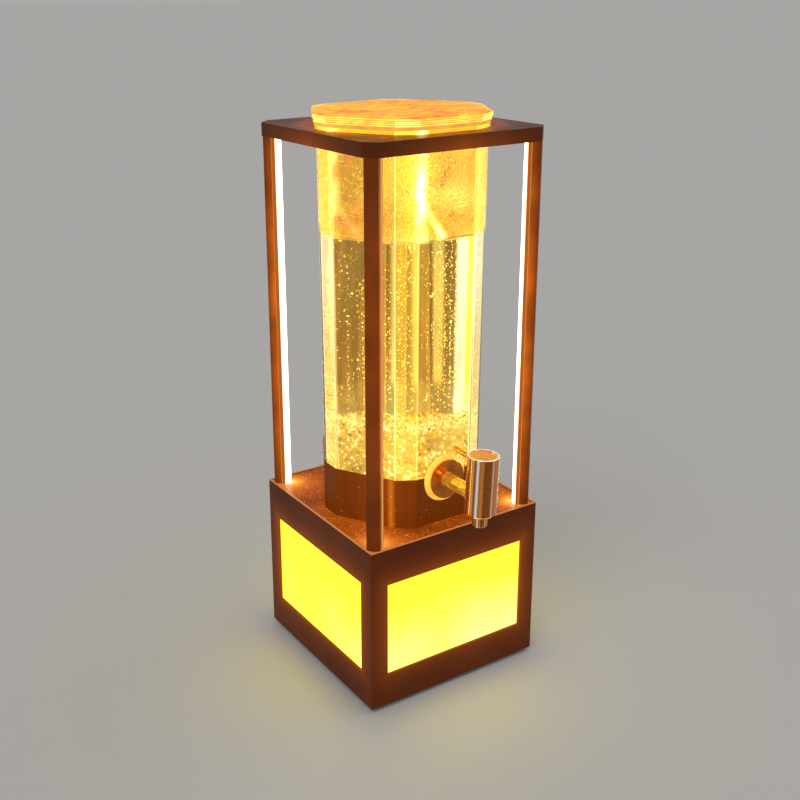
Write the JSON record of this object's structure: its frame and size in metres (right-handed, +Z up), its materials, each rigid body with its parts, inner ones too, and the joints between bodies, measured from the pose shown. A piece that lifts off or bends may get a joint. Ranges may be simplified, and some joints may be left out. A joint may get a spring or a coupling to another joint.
{
  "type": "beer tower dispenser",
  "caption": "Table-top drink tower: clear six-sided barrel with a lid in a frame of four light posts, on a lit box base, with a quarter-turn tap at the front.",
  "frame": {"origin": "middle of the whole footprint, tap included, on the surface it stands on", "axes": "+Z up; the tap faces -Y; +X is to the right for someone facing the tap"},
  "size_m": [0.16, 0.2004, 0.4511],
  "materials": {
    "frame_brown": "gloss",
    "deck_brown": "hammered",
    "window_opal": "opal, lit",
    "cover_black": "fine texture",
    "screw_steel": "satin",
    "foot_rubber": "matte",
    "cell_wrap": "film",
    "board_green": "solder mask",
    "board_white": "solder mask",
    "lamp_yellow": "clear",
    "standoff_nylon": "plain",
    "button_black": "gloss",
    "port_steel": "satin",
    "socket_brown": "gloss",
    "pad_silicone": "matte",
    "barrel_clear": "clear",
    "lid_amber": "clear, tinted",
    "seal_silicone": "satin",
    "washer_silicone": "satin",
    "tap_chrome": "polished",
    "disc_ceramic": "lapped",
    "stem_brass": "turned",
    "disc_copper": "satin",
    "light_bar_opal": "opal, lit"
  },
  "bodies": {
    "tower": {"base_shell": "frame_brown", "deck_plate": "deck_brown", "window_front": "window_opal", "window_right": "window_opal", "window_back": "window_opal", "window_left": "window_opal", "bottom_cover": "cover_black", "cover_screws": "screw_steel", "rubber_feet": "foot_rubber", "battery_holder": "cover_black", "battery_cells": "cell_wrap", "control_board": "board_green", "light_board": "board_white", "light_board_lamps": "lamp_yellow", "light_board_standoffs": "standoff_nylon", "button_bezel": "button_black", "button_switch": "button_black", "charging_port": "port_steel", "post_end_plugs": "cover_black", "post_foot_screws": "screw_steel", "post_head_screws": "screw_steel", "top_liner": "frame_brown", "top_tray": "frame_brown", "tray_screws": "screw_steel", "barrel_socket": "socket_brown", "barrel_pad": "pad_silicone", "socket_screws": "screw_steel", "barrel": "barrel_clear", "tap_body": "tap_chrome", "tap_nozzle": "tap_chrome", "tap_washer": "washer_silicone", "tap_rosette": "tap_chrome", "tap_inner_washer": "washer_silicone", "tap_lock_nut": "tap_chrome", "tap_fixed_disc": "disc_ceramic", "tap_stem_seal": "washer_silicone", "tap_gland": "stem_brass", "post_front_left": "frame_brown", "led_strip_front_left": "board_white", "light_bar_front_left": "light_bar_opal", "post_front_right": "frame_brown", "led_strip_front_right": "board_white", "light_bar_front_right": "light_bar_opal", "post_back_right": "frame_brown", "led_strip_back_right": "board_white", "light_bar_back_right": "light_bar_opal", "post_back_left": "frame_brown", "led_strip_back_left": "board_white", "light_bar_back_left": "light_bar_opal"},
    "lid": {"lid_plate": "lid_amber", "lid_base": "lid_amber", "lid_seal": "seal_silicone", "lid_plug": "lid_amber"},
    "tap_handle": {"tap_cap": "tap_chrome", "tap_lever": "tap_chrome", "tap_top_disc": "disc_copper", "tap_stem": "stem_brass", "tap_cap_screw": "screw_steel", "tap_turning_disc": "disc_ceramic"},
    "button": {"power_button": "button_black"}
  },
  "joints": [
    {"name": "lid_lift", "type": "slide", "parent": "tower", "child": "lid", "axis": [0, 0, 1], "range_m": [0, 0.15]},
    {"name": "tap_turn", "type": "hinge", "parent": "tower", "child": "tap_handle", "pos_m": [0, -0.08815, 0.174], "axis": [0.0419, 0, 0.9991], "range_deg": [0, 90]},
    {"name": "button_push", "type": "slide", "parent": "tower", "child": "button", "axis": [0, -1, 0], "range_m": [0, 0.0015], "stiffness_N_per_m": 300}
  ]
}
